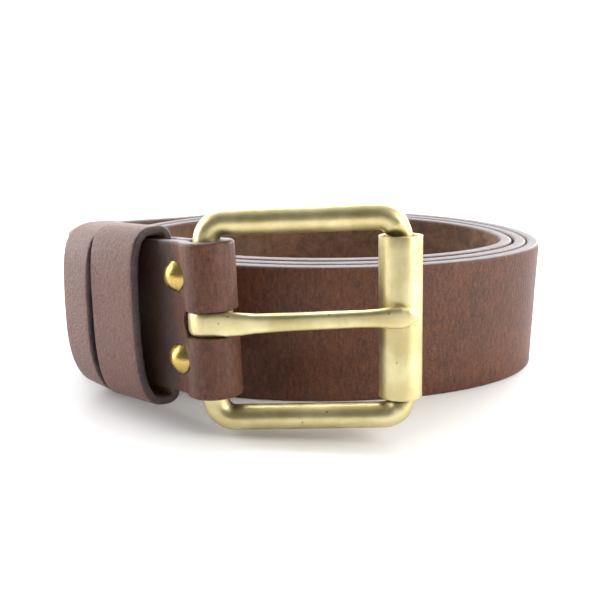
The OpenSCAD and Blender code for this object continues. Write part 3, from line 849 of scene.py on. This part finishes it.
def adjustment_punches(coil):
    """The row of adjustment holes, measured from the tip along the coil."""
    angles, run = coil
    places, facings = [], []
    for k in range(HOLE_COUNT):
        d = run[-1] - (HOLE_FIRST + HOLE_PITCH * k)
        angle = float(np.interp(d, run, angles))
        p = coil_point(angle)
        n = unit(coil_point(angle + 0.5) - coil_point(angle - 0.5))
        places.append((p[0], p[1], STRAP_W / 2))
        facings.append((-n[1], n[0], 0))
    obj = points_with("cut_holes", places, facing=facings)
    obj.modifiers.new("punches", "NODES").node_group = punch_tree()
    baked(obj)
    for p in obj.data.polygons:
        p.material_index = 0
    return obj


class BELT_OT_strap(bpy.types.Operator):
    """Build the leather strap with its slot, screw seats and adjustment holes"""

    bl_idname = "belt.strap"
    bl_label = "Strap"

    def execute(self, context):
        strap, coil = strap_body()
        cut(strap, adjustment_punches(coil))
        for cutter in slot_cutter():
            cut(strap, cutter)
        for side in (-1, 1):
            z = side * SCREW_PITCH / 2
            front = lambda pts, z=z: end_place(np.asarray(pts) + [FRONT_PAIR_X, 0, z])
            rear = lambda pts, z=z: on_bend(np.asarray(pts) + [0, 0, z], bend_at(REAR_PAIR_X))
            for place, back in ((front, FRONT_BACK_Y), (rear, REAR_BACK_Y)):
                seats = (
                    (HEAD_D / 2 + 0.1, HEAD_D / 2 + 3.1, FACE_Y - 0.02, FACE_Y + 3.2),
                    (BACK_HEAD_D / 2 + 0.1, BACK_HEAD_D / 2 + 0.1, back - 4, back + 0.02),
                    (POST_D / 2 + 0.1, POST_D / 2 + 0.1, back - 3, FACE_Y + 3),
                )
                for seat in seats:
                    cut(strap, placed_cylinder("seat", place, *seat))
        shade(strap, 42)
        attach(strap, "belt")
        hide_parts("strap")
        return {"FINISHED"}


# ------------------------------------------------------------------ keepers

def loop_line(front, back, height, r_back, top, count=150):
    """Outline of a keeper seen along the strap: [y, z] points evenly spaced and their outward normals."""
    def power(v, e):
        return math.copysign(abs(v) ** e, v)

    deep = front - back - r_back
    points = []
    for a in np.linspace(-90, 90, 241):
        e = 2 / (top if a > 0 else KEEPER_LOW)
        ca = max(math.cos(math.radians(a)), 0)
        points.append((back + r_back + deep * power(ca, e), height / 2 * power(math.sin(math.radians(a)), e)))
    points += arc((back + r_back, height / 2 - r_back), r_back, 95, 180, 12)
    points += arc((back + r_back, r_back - height / 2), r_back, 180, 265, 12)
    line = np.array(points + [points[0]])
    run = running(line)
    even = np.linspace(0, run[-1], count, endpoint=False)
    line = np.stack([np.interp(even, run, line[:, k]) for k in range(2)], axis=1)
    for _ in range(2):
        line = 0.25 * np.roll(line, 1, axis=0) + 0.5 * line + 0.25 * np.roll(line, -1, axis=0)
    ahead = np.roll(line, -1, axis=0) - np.roll(line, 1, axis=0)
    normals = np.stack([ahead[:, 1], -ahead[:, 0]], axis=1)
    return line, normals / np.linalg.norm(normals, axis=1)[:, None]


def keeper(name, back, width, top, place, seed, lean=0.0):
    line, normals = loop_line(KEEPER_FRONT, back, KEEPER_H, 3, top)
    section = rounded_section(1.0, 4, 3, 10)
    skew = KEEPER_SKEW / (KEEPER_FRONT - back)
    corner = 0.55
    rows, columns = len(line), len(section)
    verts = np.zeros((rows, columns, 3))
    for i in range(rows):
        for j, (sy, sz, oy, oz) in enumerate(section):
            depth = KEEPER_T / 2 - (sy * (KEEPER_T / 2 - corner) + oy * corner)
            x = sz * (width / 2 - corner) + oz * corner
            y, z = line[i] - normals[i] * depth
            verts[i, j] = (x + skew * (y - KEEPER_FRONT), y, z)
    flat = verts.reshape(-1, 3)
    push = wobble(flat, seed, 9, 0.07)
    flat = flat + np.repeat(np.column_stack([np.zeros(rows), normals]), columns, axis=0) * push[:, None]
    flat[:, 0] += wobble(flat + 31, seed + 5, 14, 0.05)
    towards = np.clip((flat[:, 2] - 3) / 12, 0, 1) * 0.45 + np.clip((-flat[:, 2] - 6) / 12, 0, 1) * 1.0
    flat[:, 0] -= lean * towards * np.clip((flat[:, 1] - 2) / 5, 0, 1)
    index = []
    for _ in range(rows):
        for j in range(columns):
            middle = (section[j][2] + section[(j + 1) % columns][2]) / 2
            index.append(0 if middle > 0.7 else 2 if middle < -0.8 else 1)
    f = finishes()
    faces = strip_faces(rows, columns, close_rows=True)
    obj = new_piece(name, place(flat), faces, [f["keeper"], f["keeper_edge"], f["flesh"]], index)
    tidy_normals(obj, merge=0)
    shade(obj, 60)
    return obj


def sliding_place(points):
    tilted = np.asarray(points) @ turn("Y", -SLIDING_TILT).T + [0, 0, -SLIDING_DROP]
    return on_bend(tilted, bend_at(SLIDING_X))


class BELT_OT_keepers(bpy.types.Operator):
    """Build the fixed and the sliding keeper"""

    bl_idname = "belt.keepers"
    bl_label = "Keepers"

    def execute(self, context):
        def fixed_place(points):
            tilted = np.asarray(points) @ turn("Y", -FIXED_TILT).T
            return end_place(tilted + [FIXED_X + FIXED_W / 2, 0, -FIXED_DROP])

        fixed_back = KEEPER_FACE + CLEARANCE / 2
        fixed = keeper("keeper_fixed_leather", fixed_back, FIXED_W, FIXED_TOP, fixed_place, 11)
        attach(fixed, "belt")
        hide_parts("fixed_keeper")
        sliding = keeper(
            "keeper_sliding_leather", SLIDING_BACK, SLIDING_W, SLIDING_TOP, sliding_place, 23, 0.9
        )
        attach(sliding, "sliding_keeper")
        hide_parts("sliding_keeper")
        return {"FINISHED"}


# ------------------------------------------------------------------ buckle

def rod_tree():
    """Geometry nodes: a round rod that follows a closed path and takes its radius from each point."""
    tree, nodes, links, given = new_tree(
        "rod_on_path",
        ("NodeSocketInt", "Sides", 48),
        ("NodeSocketFloat", "Thickness scale", 1.0),
    )
    curve = nodes.new("GeometryNodeMeshToCurve")
    links.new(given.outputs["Geometry"], curve.inputs["Mesh"])
    thickness = nodes.new("ShaderNodeMath")
    thickness.operation = "MULTIPLY"
    links.new(attribute(tree, "rod_radius", "FLOAT"), thickness.inputs[0])
    links.new(given.outputs["Thickness scale"], thickness.inputs[1])
    circle = nodes.new("GeometryNodeCurvePrimitiveCircle")
    circle.inputs["Radius"].default_value = 1.0
    links.new(given.outputs["Sides"], circle.inputs["Resolution"])
    swept = nodes.new("GeometryNodeCurveToMesh")
    links.new(curve.outputs["Curve"], swept.inputs["Curve"])
    links.new(circle.outputs["Curve"], swept.inputs["Profile Curve"])
    links.new(thickness.outputs[0], swept.inputs["Scale"])
    return end_tree(tree, swept.outputs["Mesh"], finishes()["brass"])


def frame_line():
    """Closed middle line of the frame and its radius: full rod all round, thinner behind the roller."""
    z0 = WINDOW_H / 2 + BAR_R
    path, radius = [], []

    def add(x, z, r):
        path.append((x, 0, z))
        radius.append(r * MM)

    for z in np.linspace(CORNER_R - z0, z0 - CORNER_R, 25):
        add(0, z, BAR_R)
    for x, z in arc((CORNER_R, z0 - CORNER_R), CORNER_R, 180, 90, 16)[1:]:
        add(x, z, BAR_R)
    for x in np.linspace(CORNER_R, BAR_PITCH - CORNER_R, 25)[1:]:
        add(x, z0, BAR_R)
    for sign in (1, -1):
        corner = arc((BAR_PITCH - CORNER_R, z0 - CORNER_R), CORNER_R, 90, 0, 20)[1:]
        taper = []
        for k, (x, z) in enumerate(corner):
            f = smooth((k / (len(corner) - 1) - 0.55) / 0.45)
            taper.append((x + ROLLER_BAR_OUT * f, z * sign, BAR_R + (ROLLER_BAR_R - BAR_R) * f))
        if sign == 1:
            for x, z, r in taper:
                add(x, z, r)
            for z in np.linspace(z0 - CORNER_R, CORNER_R - z0, 25)[1:-1]:
                add(ROLLER_X, z, ROLLER_BAR_R)
        else:
            for x, z, r in reversed(taper):
                add(x, z, r)
    for x in np.linspace(BAR_PITCH - CORNER_R, CORNER_R, 25):
        add(x, -z0, BAR_R)
    for x, z in arc((CORNER_R, CORNER_R - z0), CORNER_R, 270, 180, 16)[1:-1]:
        add(x, z, BAR_R)
    return np.array(path), radius


def prong_mesh():
    """Prong swept as one bar: an eye curled round the heel bar, then the shank out to its point."""
    ring_r = (BAR_R + CLEARANCE + EYE_R) / 2
    stations = []
    for a in np.linspace(-42, 262, 60):
        c, s = math.cos(math.radians(a)), math.sin(math.radians(a))
        stations.append((ring_r * c, ring_r * s, 0.3, PRONG_W / 2 + 0.7, EYE_WALL / 2))
    tip = ROLLER_X + PRONG_OVER
    inner = -(ROLLER_R + 0.05)
    eye_front = -(BAR_R + CLEARANCE)
    xs = [1.5, 4.6, 8, 11.5, 20.6, 30, 36.6, 40.5, 43.2, 45.6, 47.4, 48.6, tip - 0.15, tip]
    back = [
        eye_front, eye_front - 0.05, eye_front - 0.25, eye_front - 0.5, -4.4, -4.9, inner + 0.1,
        inner + 0.02, inner, inner, inner, inner - 0.15, inner - 0.45, inner - 0.6,
    ]
    thick = [2.3, 2.4, 2.8, 3.2, 3.75, 3.5, 3.1, 3.05, 3.05, 2.9, 2.5, 1.9, 1.0, 0.5]
    half = [3.0, 2.95, 2.7, 2.3, 2.05, 1.98, 1.94, 2.1, 2.5, 2.55, 2.1, 1.45, 0.75, 0.35]
    rise = [0.3, 0.3, 0.35, 0.5, 0.9, 1.15, 1.25, 1.3, 1.3, 1.3, 1.3, 1.3, 1.3, 1.3]
    for x in np.concatenate([np.linspace(1.5, 40, 70), np.linspace(40.3, tip, 50)]):
        y, t, h, z = (float(np.interp(x, xs, v)) for v in (back, thick, half, rise))
        stations.append((x, y - t / 2, z, h, t / 2))
    line = np.array([s[:2] for s in stations])
    for _ in range(3):
        line[1:-1] = 0.25 * line[:-2] + 0.5 * line[1:-1] + 0.25 * line[2:]
    ring = np.linspace(0, 2 * math.pi, 40, endpoint=False)
    verts = []
    for i, (_, _, z, h, t) in enumerate(stations):
        d = travel(line, i)
        n = left_of(d)
        e = 0.56
        for a in ring:
            u = math.copysign(abs(math.cos(a)) ** e, math.cos(a)) * t
            v = math.copysign(abs(math.sin(a)) ** e, math.sin(a)) * h
            verts.append((line[i][0] + n[0] * u, line[i][1] + n[1] * u, z + v))
    faces = strip_faces(len(stations), len(ring))
    faces += end_caps(len(stations), len(ring))
    return buckle_place(verts), faces


class BELT_OT_buckle(bpy.types.Operator):
    """Build the buckle frame, its roller and its prong"""

    bl_idname = "belt.buckle"
    bl_label = "Buckle"

    def execute(self, context):
        f = finishes()
        path, radius = frame_line()
        count = len(path)
        rod = new_piece("buckle_frame_rod", buckle_place(path), [], [])
        rod.data.edges.add(count)
        rod.data.edges.foreach_set("vertices", [v for i in range(count) for v in (i, (i + 1) % count)])
        layer = rod.data.attributes.new("rod_radius", "FLOAT", "POINT")
        layer.data.foreach_set("value", radius)
        rod.data.update()
        rod.modifiers.new("rod", "NODES").node_group = rod_tree()
        baked(rod)
        tidy_normals(rod)
        shade(rod)
        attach(rod, "frame")
        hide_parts("buckle_frame")

        h, lip = ROLLER_LEN / 2, 0.28
        inner = ROLLER_R - ROLLER_WALL
        quarter = np.linspace(0, math.pi / 2, 6)
        outer_lip = [(ROLLER_R - lip + lip * math.cos(a), h - lip + lip * math.sin(a)) for a in quarter]
        inner_lip = [(inner + lip - lip * math.sin(a), h - lip + lip * math.cos(a)) for a in quarter]
        upper = [(ROLLER_R, z) for z in np.linspace(0, h - lip, 8)[1:-1]] + outer_lip + inner_lip
        profile = [(ROLLER_R, 0)] + upper + [(inner, 0)] + [(r, -z) for r, z in reversed(upper)]
        tube = revolve("roller_tube", profile, [f["roller"]], 96, closed=True)
        local = np.array([v.co for v in tube.data.vertices]) / MM
        local = local @ turn("Y", ROLLER_TILT).T + [ROLLER_X - ROLLER_SHIFT, 0, ROLLER_Z]
        tube.data.vertices.foreach_set("co", (buckle_place(local) * MM).astype(np.float32).ravel())
        tube.data.update()
        shade(tube)
        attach(tube, "roller")
        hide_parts("roller")

        verts, faces = prong_mesh()
        prong = new_piece("prong_bar", verts, faces, [f["brass"]])
        tidy_normals(prong)
        shade(prong, 50)
        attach(prong, "prong")
        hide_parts("prong")
        return {"FINISHED"}


# ------------------------------------------------------------------ screws and staples

def stand_tree(name, master, material):
    """Geometry nodes: the master piece on every point, its z along `facing` and its x along `edge`."""
    tree, nodes, links, given = new_tree(name, ("NodeSocketFloat", "Size", 1.0))
    source = nodes.new("GeometryNodeObjectInfo")
    source.inputs["Object"].default_value = master
    rotation = None
    for axis, key in (("Z", "facing"), ("X", "edge")):
        align = nodes.new("FunctionNodeAlignRotationToVector")
        align.axis = axis
        if rotation is not None:
            align.pivot_axis = "Z"
            links.new(rotation, align.inputs["Rotation"])
        links.new(attribute(tree, key), align.inputs["Vector"])
        rotation = align.outputs["Rotation"]
    placed = nodes.new("GeometryNodeInstanceOnPoints")
    links.new(given.outputs["Geometry"], placed.inputs["Points"])
    links.new(source.outputs["Geometry"], placed.inputs["Instance"])
    links.new(rotation, placed.inputs["Rotation"])
    links.new(given.outputs["Size"], placed.inputs["Scale"])
    return end_tree(tree, placed.outputs["Instances"], material)


def stand_on(name, master, material, places, facings, edges):
    obj = points_with(name, places, facing=facings, edge=edges)
    obj.modifiers.new("stand", "NODES").node_group = stand_tree(name + "_tree", master, material)
    baked(obj)
    bpy.data.objects.remove(master)
    tidy_normals(obj)
    shade(obj, 40)
    return obj


def screw_places(y_front, y_rear):
    """The four screw places, front pair then rear pair: point, outward direction and strap direction."""
    places, facings, edges = [], [], []
    for pair, y in (("front", y_front), ("rear", y_rear)):
        for side in (1, -1):
            z = side * SCREW_PITCH / 2
            base = np.array([[0, y, z], [0, y + 1, z], [1, y, z]], float)
            if pair == "front":
                a, b, c = end_place(base + [FRONT_PAIR_X, 0, 0])
            else:
                a, b, c = on_bend(base, bend_at(REAR_PAIR_X))
            places.append(a)
            facings.append(unit(b - a))
            edges.append(unit(c - a))
    return places, facings, edges


class BELT_OT_screws(bpy.types.Operator):
    """Build the four domed posts, the four slotted screws and the two staples of the sliding keeper"""

    bl_idname = "belt.screws"
    bl_label = "Screws and staples"

    def execute(self, context):
        f = finishes()
        r, h = HEAD_D / 2, HEAD_H
        ball = (r * r + h * h) / (2 * h)
        dome = []
        for a in np.linspace(0, math.asin((r - 0.25) / ball), 14):
            dome.append((ball * math.sin(a), h - ball * (1 - math.cos(a))))
        rim = [(r - 0.06, 0.16), (r, 0.06), (r - 0.12, 0.0), (POST_D / 2, 0.0)]
        shank = FACE_Y - REAR_BACK_Y - 0.4
        socket = [(SOCKET_R, -shank), (SOCKET_R, -SOCKET_DEPTH), (0, -SOCKET_DEPTH)]
        profile = [(0, h)] + dome[1:] + rim + [(POST_D / 2, -shank)] + socket
        post = revolve("post_master", profile, [f["heads"]], 56)
        places, facings, edges = screw_places(FACE_Y + 0.05, FACE_Y + 0.05)
        posts = stand_on("domed_posts", post, f["heads"], places, facings, edges)
        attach(posts, "belt")
        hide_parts("front_post_upper", "front_post_lower", "rear_post_upper", "rear_post_lower")

        r = BACK_HEAD_D / 2
        head = [(0, BACK_HEAD_H), (r - 0.3, BACK_HEAD_H), (r, BACK_HEAD_H - 0.25), (r, 0.05), (r - 0.08, 0)]
        profile = head + [(THREAD_R, 0), (THREAD_R, -THREAD_LEN), (0, -THREAD_LEN)]
        screw = revolve("screw_master", profile, [f["heads"]], 48)
        outline = ((-6, -0.5), (6, -0.5), (6, 0.5), (-6, 0.5))
        blade = new_piece(
            "slot_blade",
            [(x, y, z) for z in (BACK_HEAD_H - 0.5, BACK_HEAD_H + 1) for x, y in outline],
            [(3, 2, 1, 0), (4, 5, 6, 7), (0, 1, 5, 4), (1, 2, 6, 5), (2, 3, 7, 6), (3, 0, 4, 7)],
            [f["heads"]],
        )
        cut(screw, blade)
        places, facings, edges = screw_places(FRONT_BACK_Y - 0.05, REAR_BACK_Y - 0.05)
        inwards = [-np.asarray(v) for v in facings]
        screws = stand_on("slotted_screws", screw, f["heads"], places, inwards, edges)
        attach(screws, "belt")
        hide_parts("front_screw_upper", "front_screw_lower", "rear_screw_upper", "rear_screw_lower")

        span, wire = STAPLE_SPAN, STAPLE_WIRE_R
        line = [(-span / 2 + wire, -0.05), (-span / 2 + wire + 0.05, 0.0)]
        line += [(x, 0.0) for x in np.linspace(-span / 2 + 0.8, span / 2 - 0.8, 9)]
        line += [(span / 2 - wire - 0.05, 0.0), (span / 2 - wire, -0.05)]
        ring = np.linspace(0, 2 * math.pi, 16, endpoint=False)
        verts = []
        for i, (x, z) in enumerate(line):
            narrow = wire if 0 < i < len(line) - 1 else wire * 0.6
            verts += [(x, narrow * math.cos(a), z + narrow * math.sin(a)) for a in ring]
        faces = strip_faces(len(line), len(ring)) + end_caps(len(line), len(ring))
        staple = new_piece("staple_master", verts, faces, [f["wire"]])
        places, facings, edges = [], [], []
        for z in (STAPLE_Z, -STAPLE_Z):
            y = SLIDING_BACK - wire - 0.02
            a, b, c = sliding_place([[0, y, z], [0, y - 1, z], [0, y, z + 1]])
            places.append(a)
            facings.append(unit(b - a))
            edges.append(unit(c - a))
        staples = stand_on("keeper_staples", staple, f["wire"], places, facings, edges)
        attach(staples, "sliding_keeper")
        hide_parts("keeper_staple_upper", "keeper_staple_lower")
        return {"FINISHED"}


# ------------------------------------------------------------------ stage

def area_light(name, place, aim, size, power, colour=(1, 1, 1)):
    light = bpy.data.lights.new(name, "AREA")
    light.shape = "RECTANGLE"
    light.size, light.size_y = size
    light.energy = power * bpy.context.scene.belt_studio.light_power
    light.color = colour
    obj = bpy.data.objects.new(name, light)
    obj.location = place
    obj.rotation_euler = (Vector(aim) - Vector(place)).to_track_quat("-Z", "Y").to_euler()
    bpy.context.scene.collection.objects.link(obj)
    return obj


class BELT_OT_stage(bpy.types.Operator):
    """Lay the pale floor and set the soft studio light and the camera"""

    bl_idname = "belt.stage"
    bl_label = "Stage"

    def execute(self, context):
        scene = context.scene
        studio = scene.belt_studio
        floor_finish = Finish("pale_floor", Roughness=0.9, Specular_IOR_Level=0.1)
        shade_of_floor = floor_finish.noise(floor_finish.place(), 3, 2)
        floor_colour = floor_finish.blend(shade_of_floor, (0.9, 0.9, 0.905, 1), (0.92, 0.92, 0.92, 1))
        floor_finish.feed("Base Color", floor_colour)
        wall_finish = Finish(
            "white_wall", Base_Color=(0.9, 0.9, 0.9, 1), Emission_Color=(1, 1, 1, 1), Emission_Strength=1.1
        )
        front, back, sweep_r, wall_top, side = -2500, 900, 400, 2200, 3500
        sweep = [(y + back, sweep_r - z) for z, y in arc((0, 0), sweep_r, 0, 90, 10)[1:]]
        profile = [(front, 0), (back, 0)] + sweep + [(back + sweep_r, wall_top)]
        verts = [(x, y, z) for x in (-side, side) for y, z in profile]
        count = len(profile)
        faces = [(i, count + i, count + i + 1, i + 1) for i in range(count - 1)]
        materials = [floor_finish.material, wall_finish.material]
        floor = new_piece("floor", verts, faces, materials, [0] + [1] * (count - 2))
        world = bpy.data.worlds.new("studio_fill")
        world.use_nodes = True
        world.node_tree.nodes["Background"].inputs["Color"].default_value = (1, 1, 1, 1)
        world.node_tree.nodes["Background"].inputs["Strength"].default_value = studio.fill
        scene.world = world
        area_light("top_softbox", (0.1, 0.5, 2.2), (0, 0.1, 0), (3.6, 2.6), 19)
        area_light("back_softbox", (-0.1, 1.15, 1.15), (0, 0, 0), (2.4, 1.0), 32)
        area_light("back_right_softbox", (0.75, 0.85, 0.35), (0.03, 0, 0.02), (0.7, 0.7), 9)
        area_light("left_softbox", (-0.95, 0.2, 0.35), (-0.04, -0.02, 0.02), (0.9, 0.9), 14)
        area_light("right_softbox", (0.85, -0.3, 0.4), (0, 0, 0.02), (0.7, 0.8), 11, (1, 0.97, 0.93))
        camera = bpy.data.cameras.new("camera")
        camera.lens = studio.lens
        camera.sensor_width = 36
        camera.clip_start = 0.01
        eye = bpy.data.objects.new("camera", camera)
        eye.location = (-0.0016, -0.2303, studio.camera_height)
        eye.rotation_euler = (math.pi / 2 - studio.camera_tilt, 0, 0)
        scene.collection.objects.link(eye)
        scene.camera = eye
        scene.view_settings.view_transform = "Standard"
        return {"FINISHED"}


class BELT_PT_panel(bpy.types.Panel):
    """Shows the belt's colours, finishes and studio settings, and a button to build each piece"""

    bl_idname = "BELT_PT_panel"
    bl_label = "Coiled belt"
    bl_space_type = "VIEW_3D"
    bl_region_type = "UI"
    bl_category = "Belt"

    def draw(self, context):
        for group in (context.scene.belt_leather, context.scene.belt_metal, context.scene.belt_studio):
            box = self.layout.box()
            for key in group.bl_rna.properties.keys():
                if key not in ("rna_type", "name"):
                    box.prop(group, key)
        for operator in OPERATORS:
            self.layout.operator(operator.bl_idname)


GROUPS = {"belt_leather": BeltLeather, "belt_metal": BeltMetal, "belt_studio": BeltStudio}
OPERATORS = (BELT_OT_strap, BELT_OT_keepers, BELT_OT_buckle, BELT_OT_screws, BELT_OT_stage)


def register():
    for name, group in GROUPS.items():
        bpy.utils.register_class(group)
        setattr(bpy.types.Scene, name, bpy.props.PointerProperty(type=group))
    for cls in (*OPERATORS, BELT_PT_panel):
        bpy.utils.register_class(cls)


def unregister():
    for cls in reversed((*OPERATORS, BELT_PT_panel)):
        bpy.utils.unregister_class(cls)
    for name, group in GROUPS.items():
        delattr(bpy.types.Scene, name)
        bpy.utils.unregister_class(group)


def main():
    register()
    belt = bpy.ops.belt
    for make in (belt.strap, belt.keepers, belt.buckle, belt.screws, belt.stage):
        make()


if __name__ == "__main__":
    main()
